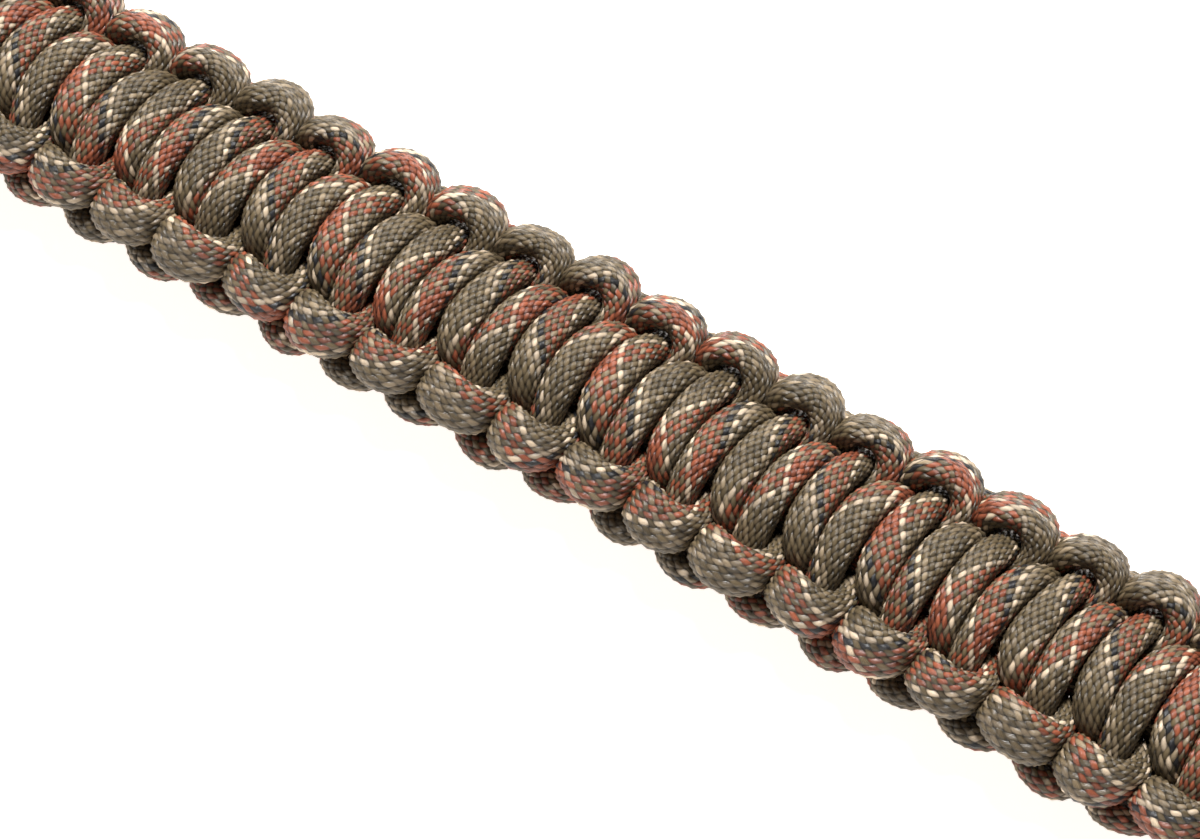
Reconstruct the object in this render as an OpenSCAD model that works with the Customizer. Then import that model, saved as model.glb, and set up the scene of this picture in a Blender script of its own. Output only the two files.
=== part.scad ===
// Shackle bracelet: a strap of cobra weave, tied from one length of 4 mm braided cord,
// with a bow shackle at one end and a loop for its pin at the other.
// It lies open and straight. X runs along the strap, Y across it, Z up from the table.
// The weave grows towards -X. Every half-knot is the mirror image of the one before it,
// and the back cord is the front cord turned half a turn about the strap's long axis.

/* [Weave] */
// Full knots along the strap, two half-knots each
knots = 23; // [4:1:30]
// Length that one half-knot takes along the strap
half_knot = 3.7; // [3.6:0.05:4]
// How far each edge runs ahead of the middle line, for each mm across
skew = 0.09; // [0:0.01:0.1]

/* [Cord] */
// Diameter of the cord where nothing presses on it
cord_d = 4; // [3.4:0.1:4.2]
// Space left between two cords that press on each other
gap = 0.48; // [0.4:0.02:0.7]
// Diameter of the two core cords inside the weave, where the knots squeeze them
core_d = 2.6; // [2:0.1:3]
// Distance between the middles of the two core cords
core_pitch = 2.9; // [2.7:0.1:3.2]

/* [End loop] */
// Free opening of the loop that takes the shackle's pin
loop_bore = 7; // [6:0.5:10]
// Distance from the last half-knot to the middle of the loop
loop_neck = 8; // [6:0.5:14]

/* [Shackle] */
// Diameter of the bow's rod
rod_d = 4; // [3.6:0.1:4.2]
// Free width inside the round of the bow
bow_w = 13.8; // [12:0.2:16]
// Free width between the two ears
jaw_w = 8.6; // [8:0.2:10]
// Distance from the middle of the bow's round to the pin
bow_reach = 13; // [12:0.5:18]
// Diameter of the ears
ear_d = 9.8; // [9:0.2:10.6]
// Thickness of each ear along the pin
ear_t = 4; // [3.4:0.2:4.4]
// Diameter of the pin
pin_d = 5; // [4.6:0.1:5.4]
// Diameter and thickness of the collar under the pin's head
collar = [7.8, 0.9];
// Diameter and thickness of the pin's flat head
head = [6.8, 1.6];
// How far the pin's tip stands out of the far ear
tip = 0.8; // [0.4:0.2:2]

/* [Hidden] */

// The middle line of the front cord through one half-knot: along the strap, across it, and up,
// and how much wider than round the cord lies where it is pressed flat
ALONG = 0;
ACROSS = 1;
UP = 2;
FLAT = 3;
HALF_KNOT = [
    [-0.1, -7.7, -1.3, 0.1],
    [ 0.1, -7.2, -0.1, 0],
    [ 0.6, -6.3,  1.1, 0],
    [ 1.0, -5.1,  2.3, 0],
    [ 1.4, -3.5,  3.1, 0],
    [ 1.5, -1.2,  3.4, 0],
    [ 1.3,  1.2,  3.4, 0],
    [ 0.8,  3.1,  3.2, 0],
    [ 0.2,  4.5,  2.3, 0],
    [-0.5,  4.8,  0.9, 0],
    [-1.3,  5.1, -0.1, 0],
    [-1.9,  6.5, -1.1, 0.1],
    [-1.7,  8.1, -1.9, 0.25],
    [-0.7,  9.1, -2.5, 0.35],
    [ 0.7,  9.5, -2.7, 0.4],
    [ 2.2,  9.1, -2.8, 0.35],
    [ 3.3,  8.5, -2.4, 0.2]];
// The way that a cord pressed flat faces the cord under it: so much across the strap, so much up
pressed_across = 0.7;
pressed_up = 0.7;

sides = 8;
rings = 10;
probes = 3;
rows = len(HALF_KNOT);
half_knots = 2 * knots;
// The last half-knot stops here, on its way across the other face, where the cord is cut and melted
last_row = rows * (half_knots - 1) + 14;
// Power that rounds the corners of a squeezed section, and the most that it may swell
roundness = 9;
swell = 1.22;
// Weight of height against width in the direction that a ring starts from
upright = 1.6;

cord_r = cord_d / 2;
core_r = core_d / 2;
core_y = core_pitch / 2;
weave_end = (half_knots - 1) * half_knot;

// The bow's round meets the strap's middle line this far before the first half-knot
rod_along = -8.2;
bow_r = (bow_w + rod_d) / 2;
function bow_at(y) = rod_along - bow_r + sqrt(bow_r * bow_r - y * y);
// The cord's middle line where it turns round the rod, and the control points that a spline rounds off
squashed_r = 1.5;
turn_r = rod_d / 2 + squashed_r;
turn_step = 45;
turn_hull = 3 * turn_r / (2 + cos(turn_step));
// The turn runs from above the rod's weave side to below it, and drifts outwards on its way
turn_from = 135;
turn_to = -90;
turn_y = -2.1;
turn_drift = 0.002;

// The front cord's way from the core, over the rod and back under it, to the first half-knot
LEAD_IN = concat(
    [[-2.2, -1.5, 0.3, 0],
     [-3.2, -1.5, 0.5, 0],
     [-4.4, -1.6, 1.4, 0]],
    [for (a = [turn_from : -turn_step : turn_to]) let (y = turn_y - turn_drift * (turn_from - a))
        [bow_at(y) - turn_hull * cos(a), y, turn_hull * sin(a), 0]],
    [[-5.6, -3.1, -3.3, 0],
     [-3.7, -5.3, -3.3, 0],
     [-2.4, -6.9, -3.2, 0.1],
     [-1.2, -7.8, -2.5, 0.1]]);
lead = len(LEAD_IN);
lead_rings = 17;

// Point number i of the front cord's control line, with the lead-in before number 0
function mirrored(p) = [p[ALONG], -p[ACROSS], p[UP]];
function turned(p) = [p[ALONG], -p[ACROSS], -p[UP]];
function knot_row(i) =
    let (k = floor(i / rows), row = HALF_KNOT[i - k * rows], side = k % 2 == 0 ? 1 : -1)
    [row[ALONG] + k * half_knot, side * row[ACROSS], row[UP], row[FLAT]];
function control(i) = i < 0 ? LEAD_IN[max(0, lead + i)] : knot_row(i);
function endless(i) = knot_row(i + 4 * rows) - [4 * half_knot, 0, 0, 0];

// A cubic spline that rounds off its control points
function spline(a, b, c, d, t) =
    (a * pow(1 - t, 3) + b * (3 * pow(t, 3) - 6 * t * t + 4)
     + c * (-3 * pow(t, 3) + 3 * t * t + 3 * t + 1) + d * pow(t, 3)) / 6;
function on_cord(u) =
    let (i = floor(u)) spline(control(i - 1), control(i), control(i + 1), control(i + 2), u - i);
function on_endless(u) =
    let (i = floor(u)) spline(endless(i - 1), endless(i), endless(i + 1), endless(i + 2), u - i);

function xyz(p) = [p[ALONG], p[ACROSS], p[UP]];
function unit(v) = v / norm(v);
function across(v, t) = unit(v - (v * t) * t);

// What presses on the cord: places on its neighbours, each with the share of the distance
// to it that the cord may fill, and what the neighbour keeps of that
core_share = cord_r / (cord_r + core_r);
weave_points = [for (u = [-3 * rows : 1 / probes : 4 * rows]) xyz(on_endless(u))];
core_points = [for (s = [-1, 1], x = [-16 : 0.5 : 20]) [x, s * core_y, 0]];
knot_press = concat(
    [for (p = weave_points) [p, 0.5, 0]],
    [for (p = weave_points) [turned(p), 0.5, 0]],
    [for (p = core_points) [p, core_share, 0]]);
lead_points = [for (u = [-lead : 1 / probes : 2 * rows]) xyz(on_cord(u))];
lead_press = concat(
    [for (p = lead_points) [p, 0.5, 0]],
    [for (p = lead_points) [turned(p), 0.5, 0]],
    [for (p = core_points) if (p[ALONG] > -2) [p, core_share, 0]],
    [for (y = [-6 : 0.4 : 6]) [[bow_at(y), y, 0], 1, rod_d / 2]]);

// How far the cord may reach from its middle line at c, in direction d
function reach(c, d, press) =
    min([for (q = press) let (v = q[0] - c, along = v * d)
        if (along > 0.08 && norm(v) > 1) (q[1] * norm(v) - q[2]) * norm(v) / along, 9]);
function squeeze(cap, free) = pow(pow(cap, -roundness) + pow(free, -roundness), -1 / roundness);
function area(r) =
    sin(360 / sides) / 2 * [for (j = [0 : sides - 1]) r[j] * r[(j + 1) % sides]]
    * [for (j = [0 : sides - 1]) 1];

// One ring of the cord, round the place p: its flanks give way to the neighbours and the rest swells
// to keep its area. It runs from the place before to the place after.
function ring(before, p, after, press) =
    let (c = xyz(p), t = unit(xyz(after - before)),
         n = across([0, c[ACROSS], upright * c[UP]], t), b = cross(n, t),
         d = [for (j = [0 : sides - 1]) cos(360 * j / sides) * n + sin(360 * j / sides) * b],
         thinnest = across([0, pressed_across * sign(c[ACROSS]), pressed_up * sign(c[UP])], t),
         wide = [for (j = [0 : sides - 1]) cord_r * (1 + p[FLAT] * (1 - 2 * pow(d[j] * thinnest, 2)))],
         free = [for (j = [0 : sides - 1]) reach(c, d[j], press) - gap / 2],
         thin = [for (j = [0 : sides - 1]) squeeze(wide[j], free[j])],
         full = sides * sin(360 / sides) / 2 * cord_r * cord_r,
         grown = min(swell, sqrt(full / area(thin))))
    [for (j = [0 : sides - 1]) c + d[j] * squeeze(grown * wide[j], free[j])];

step = rows / rings;
knot_rings = [for (i = [0 : rings - 1])
    ring(on_endless(i * step - 0.2), on_endless(i * step), on_endless(i * step + 0.2), knot_press)];
function ring_back(r) = [for (j = [0 : sides - 1]) mirrored(r[(sides - j) % sides])];
function knot_ring(i) =
    let (k = floor(i / rings), r = knot_rings[i - k * rings], side = k % 2 == 0 ? r : ring_back(r))
    [for (p = side) p + [k * half_knot, 0, 0]];
lead_step = (lead - 1) / (lead_rings + 1);
lead_ring_list = [for (i = [0 : lead_rings - 1]) let (u = -lead + 1 + i * lead_step)
    ring(on_cord(u - 0.2), on_cord(u), on_cord(u + 0.2), lead_press)];
last_ring = floor(last_row / step);
function shrunk(r, f) = let (c = [for (j = r) 1] * r / len(r)) [for (p = r) c + (p - c) * f];
function moved(r, v) = [for (p = r) p + v];
function middle(r) = [for (j = r) 1] * r / len(r);
end_way = unit(middle(knot_ring(last_ring)) - middle(knot_ring(last_ring - 1)));
cord_rings = concat(
    lead_ring_list,
    [for (i = [0 : last_ring]) knot_ring(i)],
    [moved(shrunk(knot_ring(last_ring), 0.6), 0.8 * end_way)]);

// Height of the strap's middle line above the table
lift = max([for (r = concat(lead_ring_list, knot_rings), p = r) abs(p[UP])]);

// How far a leg of the bow is let into the round
leg_in = 0.6;

// Where the strap lies: the whole bracelet is centred on the origin
loop_r = loop_bore / 2 + cord_r;
pin_along = rod_along - bow_r - bow_reach;
far_end = pin_along - ear_d / 2;
near_end = weave_end + loop_neck + loop_r + cord_r;
middle_along = (far_end + near_end) / 2;
function lean(along) = skew * max(0, min(1, 1 - along / rod_along));
function place(p) = [middle_along - p[ALONG] + lean(p[ALONG]) * p[ACROSS], p[ACROSS], p[UP] + lift];

// A closed skin over a row of rings
module skin(list) {
    n = len(list[0]);
    m = len(list);
    polyhedron(
        points = [for (r = list, p = r) place(p)],
        faces = concat(
            [[for (j = [0 : n - 1]) j]],
            [for (i = [0 : m - 2], j = [0 : n - 1])
                let (a = i * n + j, b = i * n + (j + 1) % n) each [[a, a + n, b], [b, a + n, b + n]]],
            [[for (j = [n - 1 : -1 : 0]) (m - 1) * n + j]]),
        convexity = 10);
}

// The core runs through the weave as two cords, which one loop joins beyond the last half-knot
loop_along = weave_end + loop_neck;
loop_step = 45;
loop_hull = 3 * loop_r / (2 + cos(loop_step));
woven_steps = 2;
CORE_SIDE = concat(
    [[-1.8, core_y, 0]],
    [for (k = [0 : woven_steps]) [-1.4 + (weave_end + 1.4) * k / woven_steps, core_y, 0]],
    [[weave_end + 1.6, core_y, 0]],
    [[weave_end + 3, core_y - 0.1, 0]],
    [for (a = [loop_step : loop_step : 180 - loop_step])
        [loop_along - loop_hull * cos(a), loop_hull * sin(a), 0]]);
core_line = concat(
    CORE_SIDE,
    [[loop_along + loop_hull, 0, 0]],
    [for (i = [len(CORE_SIDE) - 1 : -1 : 0]) mirrored(CORE_SIDE[i])]);
core_sides = 8;
// The core swells to its free diameter once it leaves the weave: from so far on, over such a length
swell_from = 4;
swell_along = 2;
function core_at(i) = core_line[max(0, min(len(core_line) - 1, i))];
function on_core(u) =
    let (i = floor(u)) spline(core_at(i - 1), core_at(i), core_at(i + 1), core_at(i + 2), u - i);
function core_radius(along) =
    core_r + (cord_r - core_r) * max(0, min(1, (along - weave_end - swell_from) / swell_along));
function core_ring(u) =
    let (c = on_core(u), t = unit(on_core(u + 0.1) - on_core(u - 0.1)), n = cross(t, [0, 0, 1]))
    [for (j = [0 : core_sides - 1]) let (a = 360 * j / core_sides)
        c + core_radius(c[ALONG]) * (cos(a) * n + sin(a) * [0, 0, 1])];

module front_cord() {
    color("#6e6452")
    skin(cord_rings);
}

module back_cord() {
    color("#7a6a58")
    skin([for (r = cord_rings) [for (p = r) turned(p)]]);
}

module core_cord() {
    color("#5d5546")
    skin([for (u = [0.5 : 0.5 : len(core_line) - 1.5]) core_ring(u)]);
}

module shackle() {
    jaw_y = (jaw_w + ear_t) / 2;
    ear_y = jaw_w / 2 + ear_t;
    bow_x = middle_along - rod_along + bow_r;
    pin_x = middle_along - pin_along;
    // The legs leave the round where they can run straight to the ears
    leave = atan2(jaw_y, bow_reach) + acos(bow_r / norm([jaw_y, bow_reach]));
    color("#b9bbbd")
    translate([0, 0, lift]) {
        translate([bow_x, 0, 0])
        rotate([0, 0, leave])
        rotate_extrude(angle = 360 - 2 * leave, $fn = 96)
        translate([bow_r, 0])
        circle(d = rod_d, $fn = 48);
        for (s = [-1, 1]) {
            leg([bow_x + bow_r * cos(leave), s * bow_r * sin(leave)], [pin_x, s * jaw_y]);
            bar(s * jaw_y - ear_t / 2, ear_d, ear_t);
        }
        bar(-ear_y - 0.4, pin_d, 2 * ear_y + 0.4 + tip);
        bar(-ear_y - collar[1], collar[0], collar[1] + 0.2);
        bar(-ear_y - collar[1] - head[1], head[0], head[1] + 0.2);
    }
}

// A round bar on the pin's axis, from y on
module bar(y, d, length) {
    translate([middle_along - pin_along, y + length, 0])
    rotate([90, 0, 0])
    cylinder(d = d, h = length, $fn = 64);
}

// A leg of the bow from a to b, a hair thinner than the round and let a little way into it
module leg(a, b) {
    way = (b - a) / norm(b - a);
    start = a - leg_in * way;
    translate([start[0], start[1], 0])
    rotate([0, 90, atan2(way[1], way[0])])
    cylinder(d = rod_d - 0.1, h = norm(b - start), $fn = 48);
}

front_cord();
back_cord();
core_cord();
shackle();
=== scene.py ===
"""Shackle bracelet: its braided cords, its steel shackle, the light and the camera."""
import math

import bpy
import numpy as np
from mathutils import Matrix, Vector


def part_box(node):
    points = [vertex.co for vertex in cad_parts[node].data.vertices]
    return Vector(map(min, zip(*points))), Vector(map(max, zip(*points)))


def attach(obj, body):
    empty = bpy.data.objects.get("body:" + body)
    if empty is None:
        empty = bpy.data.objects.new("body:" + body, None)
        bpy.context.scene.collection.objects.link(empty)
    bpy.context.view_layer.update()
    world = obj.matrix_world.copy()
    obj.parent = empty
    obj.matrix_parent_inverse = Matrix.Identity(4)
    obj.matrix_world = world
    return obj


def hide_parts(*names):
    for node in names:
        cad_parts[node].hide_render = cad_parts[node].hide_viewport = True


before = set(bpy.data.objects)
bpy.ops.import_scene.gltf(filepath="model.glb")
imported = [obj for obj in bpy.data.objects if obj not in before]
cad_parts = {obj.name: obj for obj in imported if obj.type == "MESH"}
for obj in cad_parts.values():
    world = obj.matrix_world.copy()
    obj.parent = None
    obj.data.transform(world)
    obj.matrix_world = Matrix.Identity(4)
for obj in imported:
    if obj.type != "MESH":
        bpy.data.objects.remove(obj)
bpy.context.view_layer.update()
MM = 0.001

# The weave: sizes in millimetres, as the solids have them
HALF_KNOTS = 46
HALF_KNOT_LENGTH = 3.7
SKEW = 0.09
CORD_R = 2.0
CORE_R = 1.3
CORE_Y = 1.45
LOOP_NECK = 8.0
LOOP_R = 5.5
ROD_R = 2.0
BOW_R = 8.9
ROD_ALONG = -8.2
WEAVE_END = (HALF_KNOTS - 1) * HALF_KNOT_LENGTH

# The middle line of the front cord through one half-knot: along the strap, across it and up,
# and how much wider than round the cord lies where it is pressed flat
HALF_KNOT = np.array([
    (-0.1, -7.7, -1.3, 0.1),
    (0.1, -7.2, -0.1, 0),
    (0.6, -6.3, 1.1, 0),
    (1.0, -5.1, 2.3, 0),
    (1.4, -3.5, 3.1, 0),
    (1.5, -1.2, 3.4, 0),
    (1.3, 1.2, 3.4, 0),
    (0.8, 3.1, 3.2, 0),
    (0.2, 4.5, 2.3, 0),
    (-0.5, 4.8, 0.9, 0),
    (-1.3, 5.1, -0.1, 0),
    (-1.9, 6.5, -1.1, 0.1),
    (-1.7, 8.1, -1.9, 0.25),
    (-0.7, 9.1, -2.5, 0.35),
    (0.7, 9.5, -2.7, 0.4),
    (2.2, 9.1, -2.8, 0.35),
    (3.3, 8.5, -2.4, 0.2)])
ROWS = len(HALF_KNOT)
# The row of the last half-knot where the cord is cut, on its way across the other face
CUT_ROW = 14
LAST_ROW = ROWS * (HALF_KNOTS - 1) + CUT_ROW

MIRRORED = np.array((1, -1, 1, 1))
TURNED = np.array((1, -1, -1, 1))
# The way that a cord pressed flat faces the cord under it: so much across the strap, so much up
PRESSED_ACROSS, PRESSED_UP = 0.7, 0.7
# Weight of height against width in the direction that a ring's angles start from
UPRIGHT = 1.6

# The front cord's turn round the bow: the cord's half thickness there, the degrees from above the
# rod's weave side to below it, and how the turn drifts outwards on its way
SQUASHED_R = 1.5
TURN_FROM, TURN_TO, TURN_STEP = 135, -90, 45
TURN_Y, TURN_DRIFT = -2.1, 0.002


def bow_at(y):
    """How far along the strap the middle of the bow's rod lies, y from the strap's middle line."""
    return ROD_ALONG - BOW_R + math.sqrt(BOW_R ** 2 - y ** 2)


def hull(radius, step):
    """How far out a spline's control points lie, a step of degrees apart, to run at the radius."""
    return 3 * radius / (2 + math.cos(math.radians(step)))


def turn_round_rod():
    """The control points of the front cord's turn round the bow."""
    hull_r = hull(ROD_R + SQUASHED_R, TURN_STEP)
    points = []
    for degrees in range(TURN_FROM, TURN_TO - 1, -TURN_STEP):
        a, y = math.radians(degrees), TURN_Y - TURN_DRIFT * (TURN_FROM - degrees)
        points.append((bow_at(y) - hull_r * math.cos(a), y, hull_r * math.sin(a), 0))
    return points


# The front cord's way from the core, over the rod and back under it, to the first half-knot
LEAD_IN = np.array([
    (-2.2, -1.5, 0.3, 0),
    (-3.2, -1.5, 0.5, 0),
    (-4.4, -1.6, 1.4, 0),
    *turn_round_rod(),
    (-5.6, -3.1, -3.3, 0),
    (-3.7, -5.3, -3.3, 0),
    (-2.4, -6.9, -3.2, 0.1),
    (-1.2, -7.8, -2.5, 0.1)])
LEAD = len(LEAD_IN)


def half_knots(first, last):
    """The control points of half-knots first to last - 1."""
    return np.vstack([
        HALF_KNOT * (MIRRORED if k % 2 else 1) + (k * HALF_KNOT_LENGTH, 0, 0, 0)
        for k in range(first, last)])


def spline(points, u):
    """Places on the cubic B-spline of these control points, which u counts."""
    i = np.clip(np.floor(u).astype(int), 1, len(points) - 3)
    t = (u - i)[:, None]
    a, b, c, d = (points[i + n] for n in (-1, 0, 1, 2))
    return (a * (1 - t) ** 3 + b * (3 * t ** 3 - 6 * t ** 2 + 4)
            + c * (-3 * t ** 3 + 3 * t ** 2 + 3 * t + 1) + d * t ** 3) / 6


def unit(v):
    return v / np.linalg.norm(v, axis=-1, keepdims=True)


def traced(points, u):
    """The places, the directions and the flatness at u along the control points."""
    apart = 0.05
    places, ahead, behind = (spline(points, u + step) for step in (0, apart, -apart))
    return places[:, :3], unit((ahead - behind)[:, :3]), places[:, 3]


def square_to(tangents, v):
    """The unit vectors square to the tangents that lie nearest to v."""
    return unit(v - (v * tangents).sum(-1, keepdims=True) * tangents)


def outward(centres, tangents):
    """Where each ring's angles start: square to the cord, away from the strap's long axis."""
    return square_to(tangents, centres * (0, 1, UPRIGHT))


def directions(normal, tangent, angles):
    """Unit vectors round each ring, by angle from its normal."""
    side = np.cross(tangent, normal)
    return np.cos(angles)[..., None] * normal[:, None] + np.sin(angles)[..., None] * side[:, None]


# How neighbours squeeze a cord: the table of its radii through one half-knot, steps by angles
STEPS = 60
ANGLES = 64
# Power that rounds a squeezed section's corners, and the air between two cords' skins
ROUNDNESS = 9
AIR = 0.03
# A place presses on a ring where it is further off than the cord's own next places, and lies ahead
OFF, AHEAD = 1.0, 0.08
NO_LIMIT = 9
# The share of the way to a neighbour's middle that a cord may fill: to a cord, to the thinner core
CORD_SHARE, CORE_SHARE = 0.5, CORD_R / (CORD_R + CORE_R)
# How far apart a neighbour's places lie: in millimetres, and in rows of a half-knot
PLACES_APART, ROWS_APART = 0.4, 0.25
# Where the core's places start, in an endless strap and in the real one, and where they end
CORE_ENDLESS, CORE_START, CORE_NEAR = -14, -2, 18
# How far each side of the middle line the rod's places run, and how many half-knots lie near it
ROD_HALF, NEAR_KNOTS = 6, 3
# The round radius of a squeezed section is looked for between these, as shares of the cord's
LEAST, MOST, HALVINGS = 0.9, 1.3, 14
# How much thinner the cord is at each row, where it dives from a face to the edge, pulled tight
PINCH = (0.1, 0.2, 0.26, 0.24, 0.12, 0.02, 0, 0.06, 0.16, 0.2, 0.2, 0.2, 0.12, 0.04, 0, 0, 0.02)


def reach(centres, ways, places, share, keep=0.0):
    """How far a cord may reach each way before it meets what lies at the places."""
    v = places[None] - centres[:, None]
    length = np.linalg.norm(v, axis=-1)
    along = np.einsum("nsi,nmi->nsm", ways, v)
    limit = ((share * length - keep) * length)[:, None] / np.maximum(along, AHEAD)
    limit[(along < AHEAD) | (length[:, None] < OFF)] = NO_LIMIT
    return limit.min(-1) - AIR


def core_places(first, last):
    """Places on the two core cords, from first to last along the strap."""
    return np.array([(x, s * CORE_Y, 0)
                     for s in (-1, 1) for x in np.arange(first, last, PLACES_APART)])


def reach_in_weave(centres, ways, cord, core):
    """How far the front cord may reach before it meets itself, the back cord or the core."""
    other = cord * TURNED[:3]
    free = [reach(centres, ways, cord, CORD_SHARE), reach(centres, ways, other, CORD_SHARE),
            reach(centres, ways, core, CORE_SHARE)]
    return np.minimum.reduce(free)


def flattened(centres, tangents, flat, ways):
    """How much wider than round a cord is each way, where it lies pressed on the cord under it."""
    across, up = PRESSED_ACROSS * np.sign(centres[:, 1]), PRESSED_UP * np.sign(centres[:, 2])
    toward = square_to(tangents, np.stack([np.zeros(len(up)), across, up], axis=1))
    return 1 + flat[:, None] * (1 - 2 * np.einsum("nsi,ni->ns", ways, toward) ** 2)


def pinched(row):
    """The radius of the cord by its place in the half-knot, in rows."""
    return CORD_R * (1 - np.interp(row, np.arange(ROWS), PINCH, period=ROWS))


def squeezed(free, shape, r):
    """The radii of a cord that keeps its section's area but stays within the free reach."""
    low, high = LEAST * r, MOST * r
    wedge = math.sin(2 * math.pi / free.shape[1]) / 2
    for _ in range(HALVINGS):
        cap = (low + high) / 2
        radii = ((cap[:, None] * shape) ** -ROUNDNESS + free ** -ROUNDNESS) ** (-1 / ROUNDNESS)
        small = (radii * np.roll(radii, -1, axis=1)).sum(1) * wedge < math.pi * r * r
        low, high = np.where(small, cap, low), np.where(small, high, cap)
    return radii


def woven_radii():
    """The table of the front cord's radii, in the middle one of eleven half-knots."""
    before, near = 5, 3.5
    control = half_knots(-before, before + 1)
    u = before * ROWS + np.arange(STEPS) / STEPS * ROWS
    centres, tangents, flat = traced(control, u)
    angles = np.broadcast_to(np.arange(ANGLES) / ANGLES * 2 * math.pi, (STEPS, ANGLES))
    ways = directions(outward(centres, tangents), tangents, angles)
    rows = np.arange((before - near) * ROWS, (before + 1 + near) * ROWS, ROWS_APART)
    core = core_places(CORE_ENDLESS, CORE_NEAR)
    free = reach_in_weave(centres, ways, spline(control, rows)[:, :3], core)
    return squeezed(free, flattened(centres, tangents, flat, ways), pinched(u))


def between_columns(table, row, column):
    """The table's radii in these rows, at whole and part columns."""
    j = np.floor(column).astype(int)
    part = column - j
    return table[row, j % ANGLES] * (1 - part) + table[row, (j + 1) % ANGLES] * part


def looked_up(table, step, angle):
    """Radii from the half-knot's table, at any half-knot; every second one is mirrored."""
    knot = np.floor(step / STEPS).astype(int)
    step = step - knot * STEPS
    sign = np.where(knot % 2 == 1, -1, 1)[:, None]
    column = (sign * angle / (2 * math.pi) * ANGLES) % ANGLES
    row = np.floor(step).astype(int)[:, None]
    part = step[:, None] - row
    # The first ring of the next half-knot is this table's first, mirrored
    next_column = np.where(row + 1 == STEPS, (ANGLES - column) % ANGLES, column)
    here = between_columns(table, row, column)
    return here * (1 - part) + between_columns(table, (row + 1) % STEPS, next_column) * part


# The braid of a cord's sheath: yarns that wind both ways pass over and under each other by turns
YARNS = 16
AROUND = 2 * YARNS
STITCH = 1.08
RING_STEP = STITCH / 2
# How far the crowns of the stitches stand out, and the corners between them lie back
CROWN, CORNER = 0.07, -0.09
# Inside a bend the cord stops at this share of the way to the bend's middle. Its stitches crowd
# and lie flatter towards there, and this is how fast
INSIDE_BEND, CROWDING = 0.8, 1.5
# Bends wider than this, one over the radius in millimetres, count as straight
STRAIGHT = 0.01
# How often each radius is evened with its neighbours
EVENINGS = 4
# Share of a strip that stays free on each side, where the skin is laid out flat
MARGIN = 0.04
# How far the melted caps reach beyond the cord's end, ring by ring, and how wide they are
MELTED = ((0.25, 0.92), (0.5, 0.66), (0.62, 0.3), (0.64, 0.02))


def even_rings(points, u_from, u_to):
    """Where along the control points the rings lie, half a stitch apart, and the whole length."""
    fine = 24
    u = np.linspace(u_from, u_to, int((u_to - u_from) * fine))
    way = np.linalg.norm(np.diff(spline(points, u)[:, :3], axis=0), axis=1)
    length = np.concatenate([[0], np.cumsum(way)])
    count = int(length[-1] / RING_STEP)
    return np.interp(np.arange(count) * RING_STEP, length, u), length[-1]


def true_normals(tangents, first):
    """Normals carried along the cord without twist."""
    normals = [first]
    for t in tangents[1:]:
        n = normals[-1] - normals[-1].dot(t) * t
        normals.append(n / np.linalg.norm(n))
    return np.array(normals)


def evened(radii):
    """The radii without the small jumps that they have where a neighbour's places lie close by."""
    for _ in range(EVENINGS):
        rings = np.vstack([radii[:1], radii, radii[-1:]])
        radii = (rings[:-2] + 2 * radii + rings[2:]) / 4
        radii = (np.roll(radii, 1, axis=1) + 2 * radii + np.roll(radii, -1, axis=1)) / 4
    return radii


def spread(normals, radii_at):
    """Angles that lie evenly round each squeezed section's outline, and the radii there."""
    fine = 128
    turns = np.arange(fine + 1) / fine * 2 * math.pi
    radii = evened(radii_at(normals, np.broadcast_to(turns[:-1], (len(normals), fine))))
    radii = np.column_stack([radii, radii[:, :1]])
    outline = np.stack([radii * np.cos(turns), radii * np.sin(turns)], axis=-1)
    length = np.cumsum(np.linalg.norm(np.diff(outline, axis=1), axis=-1), axis=1)
    length = np.column_stack([np.zeros(len(normals)), length]) / length[:, -1:]
    even = np.arange(AROUND) / AROUND
    angles = np.array([np.interp(even, row, turns) for row in length])
    # The skin doesn't turn round the cord on the whole, so the first angle gives way
    start = (even * 2 * math.pi - angles).mean(1) % (2 * math.pi)
    start = np.array([np.interp(turn, turns, row) for turn, row in zip(start, length)])
    angles = np.array([np.interp((even + first) % 1, row, turns)
                       for first, row in zip(start, length)])
    return angles, np.array([np.interp(a, turns, row) for a, row in zip(angles, radii)])


def capped(points, tangents):
    """The rings of a cord with a rounded, melted cap at each end."""
    caps = []
    for ring, way in ((points[0], -tangents[0]), (points[-1], tangents[-1])):
        middle = ring.mean(0)
        caps.append([middle + (ring - middle) * width + way * out for out, width in MELTED])
    return np.concatenate([caps[0][::-1], points, caps[1]])


def triangles(count):
    """The ring and the side of each triangle's corners, with the rings of the caps beyond them."""
    caps = len(MELTED)
    rings, sides = np.meshgrid(np.arange(-caps, count - 1 + caps), np.arange(AROUND), indexing="ij")
    rings, sides = rings.ravel(), sides.ravel()
    # Each square is cut along its two corners, so that the creases between stitches lie low
    square = np.array([(0, 0), (0, 1), (1, 1), (1, 0)])
    two_triangles = np.array([2, 1, 0, 3, 2, 0])
    first = np.where((rings + sides) % 2, 0, 1)
    steps = square[(first[:, None] + two_triangles) % 4]
    ring = (rings[:, None] + steps[..., 0]).reshape(-1, 3)
    side = (sides[:, None] + steps[..., 1]).reshape(-1, 3)
    return ring, side


def laid_flat(ring, side, count):
    """Where the cord's skin lies when laid flat, in strips side by side: across and along."""
    spare_rings = 3
    strips = max(1, round(math.sqrt(count * RING_STEP / (2 * math.pi * CORD_R))))
    strip_rings = math.ceil(count / strips)
    strip = ring.min(axis=1, keepdims=True) // strip_rings
    across = (strip + MARGIN + (1 - 2 * MARGIN) * side / AROUND) / strips
    along = (ring - strip * strip_rings + spare_rings) / (strip_rings + 2 * spare_rings)
    return across, along


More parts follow.
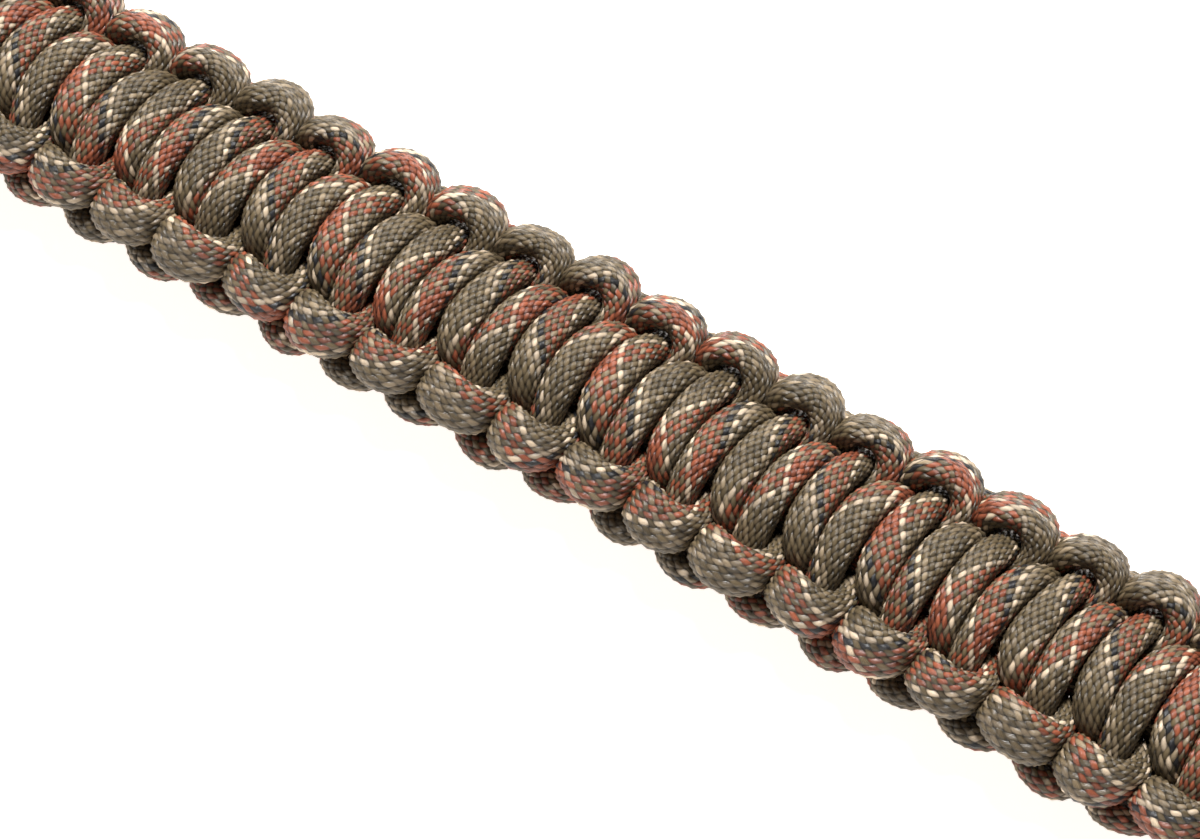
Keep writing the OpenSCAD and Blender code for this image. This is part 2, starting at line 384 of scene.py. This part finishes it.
def add_layer(mesh, name, across, along):
    """Adds a UV layer, from its two values at each corner of each face."""
    values = np.stack([across, along], axis=-1).astype(np.float32)
    mesh.uv_layers.new(name=name).data.foreach_set("uv", values.ravel())


def piece(name, mesh, *finishes):
    """Links a smooth mesh as a piece of the object."""
    mesh.polygons.foreach_set("use_smooth", [True] * len(mesh.polygons))
    for finish in finishes:
        mesh.materials.append(finish)
    thing = bpy.data.objects.new(name, mesh)
    bpy.context.scene.collection.objects.link(thing)
    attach(thing, "root")
    return thing


def braided(name, centres, tangents, radii_at, finish, where, shift=0):
    """A braided cord: every second vertex is the crown of a stitch, the others are corners."""
    count, caps = len(centres), len(MELTED)
    nudge = (0, 1e-3, 0)
    normals = true_normals(tangents, outward(centres[:1] + nudge, tangents[:1])[0])
    angles, radii = spread(normals, radii_at)
    ways = directions(normals, tangents, angles)
    bend = np.einsum("nsi,ni->ns", ways, np.gradient(tangents, axis=0)) / RING_STEP
    radii = np.minimum(radii, INSIDE_BEND / np.maximum(bend, STRAIGHT))
    room = np.clip(CROWDING * (INSIDE_BEND - bend * radii), 0, 1)
    odd = (np.arange(count)[:, None] + np.arange(AROUND)) % 2
    radii = radii + np.where(odd, CORNER, CROWN) * room
    points = capped(centres[:, None] + ways * radii[..., None], tangents)
    points = where(points.reshape(-1, 3)) * MM
    ring, side = triangles(count)
    mesh = bpy.data.meshes.new(name)
    mesh.from_pydata(points.tolist(), [], ((ring + caps) * AROUND + side % AROUND).tolist())
    melted = (ring.min(axis=1) < 0) | (ring.max(axis=1) > count - 1)
    mesh.polygons.foreach_set("material_index", melted.astype(int))
    crowded = room[np.clip(ring, 0, count - 1), side % AROUND]
    add_layer(mesh, "Braid", side, ring + shift)
    add_layer(mesh, "Room", crowded, np.zeros(crowded.shape))
    add_layer(mesh, "OFBake", *laid_flat(ring + caps, side, count + 2 * caps))
    return piece(name, mesh, *finish)


# Where the strap lies in the frame, read from the core's solid
core_low, core_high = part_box("core_cord")
LIFT = (core_low.z + core_high.z) / 2 / MM
MIDDLE_ALONG = core_low.x / MM + WEAVE_END + LOOP_NECK + LOOP_R + CORD_R

# Knots tied by hand aren't all alike: they wander ahead and sideways, and differ in width and
# height. Each is a sum of sine waves: height, length along the strap and across it, and start
AHEAD_WAVES = ((0.2, 4.7, 6, 0), (0.1, 2.3, -5, 0))
SWAY_WAVES = ((0.2, 13, math.inf, 1), (0.1, 6.1, math.inf, 0))
WIDTH_WAVES = ((0.016, 3.1, 4, 0), (0.012, 1.9, -3, 0))
HEIGHT_WAVES = ((0.008, 2.9, 4, 0),)
# How much narrower and lower the knots are on the whole
NARROWER, LOWER = 0.02, 0.008
# All this grows over so much of the weave at each of its ends
GROWS = 9


def waves(along, across, terms):
    return sum(height * np.sin(along / length + across / width + start)
               for height, length, width, start in terms)


def place(p):
    """Places in the frame, in millimetres, of places along the strap, across it and up."""
    along, across, up = p.T
    lean = SKEW * np.clip(1 - along / ROD_ALONG, 0, 1)
    tied = np.clip(along / GROWS, 0, 1) * np.clip((WEAVE_END - along) / GROWS, 0, 1)
    ahead, sway, wider, flatter = (
        tied * waves(along, across, terms)
        for terms in (AHEAD_WAVES, SWAY_WAVES, WIDTH_WAVES, HEIGHT_WAVES))
    wide = 1 - NARROWER * tied + wider
    high = 1 - LOWER * tied - flatter
    x = MIDDLE_ALONG - along - ahead + lean * across
    return np.stack([x, across * wide + sway, up * high + LIFT], axis=1)


def turned_place(p):
    return place(p * TURNED[:3])


def working_cord(name, finish, where, shift):
    """The front cord, or with the turned placing the back one."""
    control = np.vstack([LEAD_IN, half_knots(0, HALF_KNOTS + 1)])
    u, length = even_rings(control, 1, LEAD + LAST_ROW)
    centres, tangents, flat = traced(control, u)
    table = woven_radii()
    # Up to the end of the first half-knot the neighbours aren't an endless strap's
    started = u >= LEAD + ROWS
    near = spline(control, np.arange(1, LEAD + NEAR_KNOTS * ROWS, ROWS_APART))[:, :3]
    rod = np.array([(bow_at(y), y, 0) for y in np.arange(-ROD_HALF, ROD_HALF + 0.1, PLACES_APART)])

    def radii_at(normals, angles):
        base = outward(centres, tangents)
        side = np.cross(tangents, base)
        twist = np.arctan2((normals * side).sum(1), (normals * base).sum(1))
        radii = looked_up(table, (u - LEAD) / ROWS * STEPS, angles + twist[:, None])
        c, ways = centres[~started], directions(normals, tangents, angles)[~started]
        free = reach_in_weave(c, ways, near, core_places(CORE_START, CORE_NEAR))
        free = np.minimum(free, reach(c, ways, rod, 1.0, ROD_R))
        shape = flattened(c, tangents[~started], flat[~started], ways)
        row = u[~started] - LEAD
        radii[~started] = squeezed(free, shape, np.where(row > 0, pinched(row), CORD_R))
        return radii

    print(name, "length mm", round(length, 1), "rings", len(u))
    return braided(name, centres, tangents, radii_at, finish, where, shift)


# Along the strap: the core's start and where its legs run straight, and where they leave the weave
CORE_LEG = (-1.8, *np.linspace(-1.4, WEAVE_END, 3), WEAVE_END + 1.6)
CORE_LEAVES, CORE_CLOSES = WEAVE_END + 3, 0.1
# The core swells to its free diameter once it leaves the weave: from so far on, over such a length
SWELL_FROM, SWELL_ALONG = 4, 2


def core_line():
    """The core's control points: one leg, the loop beyond the last half-knot, the other leg."""
    step = 45
    hull_r = hull(LOOP_R, step)
    along = WEAVE_END + LOOP_NECK
    side = [(x, CORE_Y, 0) for x in CORE_LEG] + [(CORE_LEAVES, CORE_Y - CORE_CLOSES, 0)]
    for degrees in range(step, 181 - step, step):
        a = math.radians(degrees)
        side.append((along - hull_r * math.cos(a), hull_r * math.sin(a), 0))
    side = np.array(side)
    line = np.vstack([side, [(along + hull_r, 0, 0)], side[::-1] * MIRRORED[:3]])
    return np.column_stack([line, np.zeros(len(line))])


def core_cord(name, finish):
    """The core: two cords drawn thin inside the weave, and the loop that joins them."""
    control = core_line()
    u, length = even_rings(control, 1, len(control) - 2)
    centres, tangents, _ = traced(control, u)
    swell = np.clip((centres[:, 0] - WEAVE_END - SWELL_FROM) / SWELL_ALONG, 0, 1)

    def radii_at(normals, angles):
        return (CORE_R + (CORD_R - CORE_R) * swell)[:, None] * np.ones(angles.shape)

    print(name, "length mm", round(length, 1), "rings", len(u))
    return braided(name, centres, tangents, radii_at, finish, place)


# The shackle: sizes in millimetres, as the solid has them
BOW_REACH = 13
BOW_X = MIDDLE_ALONG - ROD_ALONG + BOW_R
PIN_X = BOW_X + BOW_REACH
JAW_Y, EAR_R, EAR_T, PIN_R = 6.3, 4.9, 4.0, 2.5
EAR_IN, EAR_OUT = JAW_Y - EAR_T / 2, JAW_Y + EAR_T / 2
COLLAR_R, COLLAR_T, HEAD_R, HEAD_T, TIP = 3.9, 0.9, 3.4, 1.6, 0.8
TURNS = 96
# Radius that stands for none, where a skin closes on its axis
POINT = 0.02
# The bow's legs widen towards the ears: from so far off the ear's middle, over such a length,
# and by so much of the rod's radius, which they lose across
FLARE_FROM, FLARE_ALONG, FLARE = 8.5, 5, 0.5
# The legs and the round are a hair thinner across than the rod
ROD_THIN = 0.995
# The legs run between these shares of the way from the ear's middle to the round
LEG_FROM, LEG_TO = 0.24, 0.98
LEG_RINGS, ARC_RINGS = 20, 73


def eased(corners):
    """A profile's points: each corner is a radius, a place along the axis and its rounding."""
    run_in, steps = 0.03, 6
    points = []
    for n, (r, y, bevel) in enumerate(corners):
        here = np.array((r, y), dtype=float)
        if not bevel:
            points.append(here)
            continue
        beside = (np.array(corners[(n + step) % len(corners)][:2]) for step in (-1, 1))
        before, after = (unit(corner - here) for corner in beside)
        points.append(here + (bevel + run_in) * before)
        for t in np.linspace(0, 1, steps):
            points.append(here + bevel * ((1 - t) ** 2 * before + t ** 2 * after))
        points.append(here + (bevel + run_in) * after)
    return np.array(points)


def about_pin(profile, hexagonal=0):
    """Rings round the pin's axis through a profile's points, the first few of them six-sided."""
    a = np.arange(TURNS) / TURNS * 2 * math.pi
    six = 1 / np.cos((a + math.pi / 6) % (math.pi / 3) - math.pi / 6)
    rings = []
    for n, (r, y) in enumerate(profile):
        r = r * six if n < hexagonal else r
        rings.append(np.stack([PIN_X + r * np.cos(a), y + 0 * a, LIFT + r * np.sin(a)], axis=1))
    return np.array(rings)


def ear(side):
    """An ear with rounded rims, and the bore that the pin fills."""
    rim, bore_rim, bore_r = 0.6, 0.3, PIN_R + 0.12
    profile = eased([(EAR_R, EAR_IN, rim), (EAR_R, EAR_OUT, rim),
                     (bore_r, EAR_OUT, bore_rim), (bore_r, EAR_IN, bore_rim)])
    return about_pin(profile * (1, side))


def pin():
    """The pin with its collar, its flat head with a six-sided socket, and its threaded tip."""
    collar, head, tip = -EAR_OUT, -EAR_OUT - COLLAR_T, EAR_OUT + TIP
    end = head - HEAD_T
    # The socket's radii and how deep each lies in the head
    socket = [(r, end + depth) for r, depth in
              ((POINT, 1.1), (1.36, 1.0), (1.4, 0.95), (1.4, 0.16), (1.42, 0.12), (1.54, 0))]
    head_on = eased([(2.0, end, 0), (HEAD_R, end, 0.45), (HEAD_R, head, 0.1),
                     (COLLAR_R, head, 0.2), (COLLAR_R, collar, 0.15),
                     (PIN_R, collar, 0.1), (PIN_R, tip - 1.3, 0)])
    # The thread's two grooves and the rounded tip: how far before the tip, and how deep
    thread = [(PIN_R - depth, tip - before) for before, depth in
              ((1.2, 0.02), (1.05, 0.22), (0.9, 0.22), (0.75, 0.02), (0.65, 0.02), (0.5, 0.22),
               (0.35, 0.24), (0.25, 0.2), (0.02, 0.45), (0.0, 0.5), (0.0, 1.2))]
    return about_pin(np.vstack([socket, head_on, thread, [(POINT, tip)]]), len(socket))


def bow():
    """The bow's round and its two legs, which widen where they run into the ears."""
    leave = math.atan2(JAW_Y, BOW_REACH) + math.acos(BOW_R / math.hypot(JAW_Y, BOW_REACH))
    arc = np.linspace(leave, 2 * math.pi - leave, ARC_RINGS)
    arc = np.stack([BOW_X + BOW_R * np.cos(arc), BOW_R * np.sin(arc)], axis=1)
    ear_end = np.array((PIN_X, JAW_Y))
    leg = ear_end + np.linspace(LEG_FROM, LEG_TO, LEG_RINGS)[:, None] * (arc[0] - ear_end)
    line = np.vstack([leg, arc, leg[::-1] * (1, -1)])
    way = unit(np.gradient(line, axis=0))
    side = np.stack([-way[:, 1], way[:, 0]], axis=1)
    from_pin = np.hypot(line[:, 0] - PIN_X, np.abs(line[:, 1]) - JAW_Y)
    flare = np.clip((FLARE_FROM - from_pin) / FLARE_ALONG, 0, 1)
    flare = FLARE * flare ** 2 * (3 - 2 * flare)
    tall, wide = ROD_R * (1 + flare), ROD_R * (ROD_THIN - flare)
    a = np.arange(TURNS // 2) / (TURNS // 2) * 2 * math.pi
    flat = line[:, None] + wide[:, None, None] * np.cos(a)[:, None] * side[:, None]
    rings = np.dstack([flat, LIFT + tall[:, None] * np.sin(a)])
    ends = [rings[n].mean(0) + POINT * (rings[n] - rings[n].mean(0)) for n in (0, -1)]
    return np.concatenate([ends[:1], rings, ends[1:]])


def shackle(finish):
    """One mesh of the bow, the ears and the pin, each laid out in its own strip."""
    parts = ((bow(), False), (ear(1), True), (ear(-1), True), (pin(), False))
    corners, faces, across, along = [], [], [], []
    for n, (rings, ring_shaped) in enumerate(parts):
        rows, sides = rings.shape[:2]
        spans = rows if ring_shaped else rows - 1
        i, j = np.meshgrid(np.arange(spans), np.arange(sides), indexing="ij")
        i = i.reshape(-1, 1) + (0, 0, 1, 1)
        j = j.reshape(-1, 1) + (0, 1, 1, 0)
        grid = (i % rows) * sides + j % sides
        points = rings.reshape(-1, 3) * MM
        # Faces that look inwards are turned
        a, b, c = (points[grid[:, k]] - points.mean(0) for k in range(3))
        if np.einsum("ni,ni->", np.cross(a, b), c) < 0:
            grid, i, j = grid[:, ::-1], i[:, ::-1], j[:, ::-1]
        faces += (grid + sum(map(len, corners))).tolist()
        corners.append(points)
        across.append((n + MARGIN + (1 - 2 * MARGIN) * j / sides) / len(parts))
        along.append(MARGIN / 2 + (1 - MARGIN) * i / rows)
    mesh = bpy.data.meshes.new("steel_shackle")
    mesh.from_pydata(np.vstack(corners).tolist(), [], faces)
    add_layer(mesh, "OFBake", np.concatenate(across), np.concatenate(along))
    return piece("steel_shackle", mesh, finish)


class Nodes:
    """Builds a material's nodes: each call adds one and gives its first output."""

    def __init__(self, name):
        self.material = bpy.data.materials.new(name)
        self.material.use_nodes = True
        self.tree = self.material.node_tree
        self.shader = self.tree.nodes["Principled BSDF"]

    def add(self, kind, settings=(), **inputs):
        """Adds a node and gives it whole; an input's name is its own, or i and its number."""
        node = self.tree.nodes.new(kind)
        for key, value in dict(settings).items():
            setattr(node, key, value)
        for key, value in inputs.items():
            self.join(value, node.inputs[int(key[1:]) if key[1:].isdigit() else key])
        return node

    def join(self, value, socket):
        if isinstance(value, bpy.types.NodeSocket):
            self.tree.links.new(value, socket)
        else:
            socket.default_value = value

    def maths(self, operation, *values):
        settings = {"operation": operation}
        inputs = {f"i{n}": value for n, value in enumerate(values)}
        return self.add("ShaderNodeMath", settings, **inputs).outputs[0]

    def blend(self, factor, a, b, mode="MIX"):
        node = self.tree.nodes.new("ShaderNodeMix")
        node.data_type, node.blend_type = "RGBA", mode
        for value, key in ((factor, 0), (a, 6), (b, 7)):
            self.join(value, node.inputs[key])
        return node.outputs[2]

    def stripes(self, position, colours):
        """One colour for each equal stretch of the position from 0 to 1."""
        node = self.add("ShaderNodeValToRGB", Fac=position)
        ramp = node.color_ramp
        ramp.interpolation = "CONSTANT"
        for n, colour in enumerate(colours):
            stop = ramp.elements[n] if n < 2 else ramp.elements.new(n / len(colours))
            stop.position = n / len(colours)
            stop.color = (*colour, 1)
        return node.outputs[0]

    def uv(self, layer):
        """The two values of a UV layer."""
        both = self.add("ShaderNodeUVMap", {"uv_map": layer}).outputs[0]
        return self.add("ShaderNodeSeparateXYZ", Vector=both).outputs[:2]

    def finish(self, **values):
        """Sets the shader's plain values; a low line in a name stands for a space."""
        for key, value in values.items():
            self.shader.inputs[key.replace("_", " ")].default_value = value
        return self.material


# Yarn colours, linear
OLIVE = (0.114, 0.083, 0.044)
TAUPE = (0.148, 0.108, 0.061)
STONE = (0.245, 0.184, 0.115)
CREAM = (0.570, 0.445, 0.315)
RUST = (0.260, 0.072, 0.034)
NAVY = (0.013, 0.013, 0.015)
YARNS_LEANING_RIGHT = [OLIVE, TAUPE, OLIVE, OLIVE, STONE, TAUPE, OLIVE, CREAM,
                       RUST, RUST, RUST, RUST, NAVY, CREAM, STONE, OLIVE]
YARNS_LEANING_LEFT = [OLIVE, OLIVE, TAUPE, OLIVE, CREAM, RUST, RUST, RUST,
                      TAUPE, STONE, OLIVE, TAUPE, OLIVE, STONE, OLIVE, OLIVE]
# A stitch is longer than its cell and narrower, so its ends lie over the sides of its neighbours:
# half its length and width in cells, and the height of the open creases, where its crown is 1
STITCH_LONG, STITCH_WIDE, CREASE = 0.66, 0.43, -0.6
# Filaments: how fast their waves follow each other across a stitch, their height and their painted
# shade, which lightens their crests and darkens the grooves between them
FILAMENT_RATE, FILAMENT_HEIGHT, FILAMENT_SHADE = 44.0, 0.09, 0.15
# How much brighter some stitches are than the darkest, how bright that is, and how much painted
# shade darkens the crowded inside of a bend
TONE_SPREAD, TONE_LEAST, CROWDED_SHADE = 0.75, 0.66, 0.6
# Painted shade in the creases between stitches darkens from full at the lower height to nothing at
# the upper one, and leaves the light value as the brightness at the deepest
CREASE_LOW, CREASE_HIGH, CREASE_LIGHT = -0.5, 0.75, 0.22
BUMP_HEIGHT = 0.00013


def braid_finish(name):
    """Braided nylon: every yarn keeps its colour round the cord, and bulges where it is on top."""
    n = Nodes(name)
    u, v = n.uv("Braid")
    room, _ = n.uv("Room")
    # Yarns that lean right lie along the sum of the two counts, the others along the difference
    rise = n.maths("MULTIPLY", n.maths("ADD", u, v), 0.5)
    fall = n.maths("MULTIPLY", n.maths("SUBTRACT", v, u), 0.5)
    cells = [n.maths("FLOOR", n.maths("ADD", x, 0.5)) for x in (rise, fall)]
    inside = [n.maths("SUBTRACT", x, cell) for x, cell in zip((rise, fall), cells)]
    left = n.maths("FLOORED_MODULO", n.maths("ADD", *cells), 2.0)
    right = n.maths("SUBTRACT", 1.0, left)

    def either(a, chooses_a, b, chooses_b):
        return n.maths("ADD", n.maths("MULTIPLY", a, chooses_a), n.maths("MULTIPLY", b, chooses_b))

    along = either(inside[0], right, inside[1], left)
    across = either(inside[1], right, inside[0], left)

    def stitch(lengthways, sideways):
        parts = [n.maths("POWER", n.maths("DIVIDE", x, size), 2.0)
                 for x, size in ((lengthways, STITCH_LONG), (sideways, STITCH_WIDE))]
        return n.maths("SUBTRACT", 1.0, n.maths("ADD", *parts))

    own = stitch(along, across)
    next_one = stitch(n.maths("SUBTRACT", 1.0, n.maths("ABSOLUTE", across)), along)
    covered = n.maths("GREATER_THAN", next_one, own)
    bare = n.maths("SUBTRACT", 1.0, covered)
    height = n.maths("MAXIMUM", n.maths("MAXIMUM", own, next_one), CREASE)
    shows_left = n.maths("ABSOLUTE", n.maths("SUBTRACT", left, covered))
    shift = n.maths("MULTIPLY", covered, n.maths("SIGN", across))
    mark = n.add("ShaderNodeCombineXYZ",
                 X=n.maths("MULTIPLY_ADD", shift, left, cells[0]),
                 Y=n.maths("MULTIPLY_ADD", shift, right, cells[1])).outputs[0]
    chance = n.add("ShaderNodeTexWhiteNoise", {"noise_dimensions": "2D"}, Vector=mark).outputs[0]

    colours = []
    for cell, row in ((cells[1], YARNS_LEANING_RIGHT), (cells[0], YARNS_LEANING_LEFT)):
        yarn = n.maths("FLOORED_MODULO", cell, float(YARNS))
        middle = n.maths("DIVIDE", n.maths("ADD", yarn, 0.5), float(YARNS))
        colours.append(n.stripes(middle, row))
    colour = n.blend(shows_left, *colours)
    sideways = either(across, bare, along, covered)
    phase = n.maths("MULTIPLY", n.maths("ADD", sideways, chance), FILAMENT_RATE)
    filament = n.maths("SINE", phase)
    # Painted shade: the colour darkens where the stitches' height is low, in the creases between
    # them
    painted_crease_shade = n.add("ShaderNodeMapRange", {"interpolation_type": "SMOOTHSTEP"}, Value=height,
                   i1=CREASE_LOW, i2=CREASE_HIGH, i3=CREASE_LIGHT, i4=1.0).outputs[0]
    light = n.maths("MULTIPLY", n.maths("MULTIPLY_ADD", chance, TONE_SPREAD, TONE_LEAST), painted_crease_shade)
    # Painted highlight and shade along the filaments: lighter on their crests, darker in the
    # grooves
    light = n.maths("MULTIPLY", light, n.maths("MULTIPLY_ADD", filament, FILAMENT_SHADE, 1.0))
    # Painted shade on the crowded inside of bends, where the stitches have little room
    light = n.maths("MULTIPLY", light,
                    n.maths("MULTIPLY_ADD", room, CROWDED_SHADE, 1 - CROWDED_SHADE))
    grey = n.add("ShaderNodeCombineColor", Red=light, Green=light, Blue=light).outputs[0]
    n.join(n.blend(1.0, colour, grey, "MULTIPLY"), n.shader.inputs["Base Color"])
    relief = n.maths("MULTIPLY_ADD", filament, FILAMENT_HEIGHT, height)
    relief = n.maths("MULTIPLY", relief, room)
    bump = n.add("ShaderNodeBump", Strength=1.0, Distance=BUMP_HEIGHT, Height=relief)
    n.join(bump.outputs[0], n.shader.inputs["Normal"])
    return n.finish(Roughness=0.38, Specular_IOR_Level=0.55)


def melted_finish():
    """The smooth dark bead that a flame leaves on a cut end."""
    return Nodes("melted_nylon").finish(
        Base_Color=(0.045, 0.031, 0.018, 1), Roughness=0.6, Specular_IOR_Level=0.3)


def steel_finish():
    """Satin steel with a fine grain and faint smudges."""
    n = Nodes("satin_steel")
    spot = n.add("ShaderNodeTexCoord").outputs["Object"]
    drawn = n.add("ShaderNodeMapping", Vector=spot, Scale=(1.0, 1.0, 9.0)).outputs[0]
    grain = n.add("ShaderNodeTexNoise", Vector=drawn, Scale=1400.0, Detail=2.0).outputs[0]
    smudge = n.add("ShaderNodeTexNoise", Vector=spot, Scale=160.0, Detail=3.0).outputs[0]
    rough = n.add("ShaderNodeMapRange", Value=smudge, i1=0.3, i2=0.7, i3=0.26, i4=0.38).outputs[0]
    n.join(rough, n.shader.inputs["Roughness"])
    bump = n.add("ShaderNodeBump", Strength=0.35, Distance=0.00003, Height=grain)
    n.join(bump.outputs[0], n.shader.inputs["Normal"])
    return n.finish(Base_Color=(0.44, 0.44, 0.45, 1), Metallic=1.0)


def floor():
    """The white surface under the bracelet, which glows a little as an overexposed one does."""
    glow = Nodes("pale_floor").finish(
        Base_Color=(0.92, 0.88, 0.82, 1), Roughness=0.8,
        Emission_Color=(1, 0.95, 0.9, 1), Emission_Strength=0.95)
    half = 3.0
    corners = [(x, y, 0) for x, y in ((-half, -half), (half, -half), (half, half), (-half, half))]
    mesh = bpy.data.meshes.new("floor")
    mesh.from_pydata(corners, [], [(0, 1, 2, 3)])
    mesh.materials.append(glow)
    thing = bpy.data.objects.new("floor", mesh)
    bpy.context.scene.collection.objects.link(thing)


def lights():
    """A soft lamp above and behind the strap, and a dim warm surround."""
    world = bpy.data.worlds.new("studio")
    bpy.context.scene.world = world
    world.use_nodes = True
    background = world.node_tree.nodes["Background"]
    background.inputs["Color"].default_value = (1, 0.95, 0.88, 1)
    background.inputs["Strength"].default_value = 0.2
    light = bpy.data.lights.new("softbox", "AREA")
    light.shape, light.size, light.energy = "DISK", 0.25, 15.0
    thing = bpy.data.objects.new("softbox", light)
    thing.location = (-0.20, 0.35, 0.75)
    thing.rotation_euler = (-thing.location).to_track_quat("-Z", "Y").to_euler()
    bpy.context.scene.collection.objects.link(thing)


def camera():
    """The photo's view: from above and a little from the right, along the strap."""
    azimuth, elevation, distance = math.radians(32), math.radians(66), 0.2775
    target = Vector((-0.0127, -0.00227, LIFT * MM))
    back = Vector((math.sin(azimuth) * math.cos(elevation),
                   -math.cos(azimuth) * math.cos(elevation), math.sin(elevation)))
    data = bpy.data.cameras.new("camera")
    data.lens, data.sensor_width = 90, 36
    data.clip_start = 0.01
    thing = bpy.data.objects.new("camera", data)
    thing.location = target + distance * back
    thing.rotation_euler = (-back).to_track_quat("-Z", "Y").to_euler()
    bpy.context.scene.collection.objects.link(thing)
    bpy.context.scene.camera = thing


camera()
lights()
floor()
bpy.context.scene.view_settings.view_transform = "Standard"
braid = braid_finish("braided_nylon"), melted_finish()
# The back cord's stitches are counted from another one, so that its colours fall differently. The
# shift is even, so that crowns stay crowns
BACK_SHIFT = 22
for cord_name, where, shift in (("front_cord", place, 0), ("back_cord", turned_place, BACK_SHIFT)):
    thing = working_cord("braided_" + cord_name, braid, where, shift)
    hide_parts(cord_name)
core = core_cord("braided_core_cord", braid)
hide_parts("core_cord")
steel = shackle(steel_finish())
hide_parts("shackle")
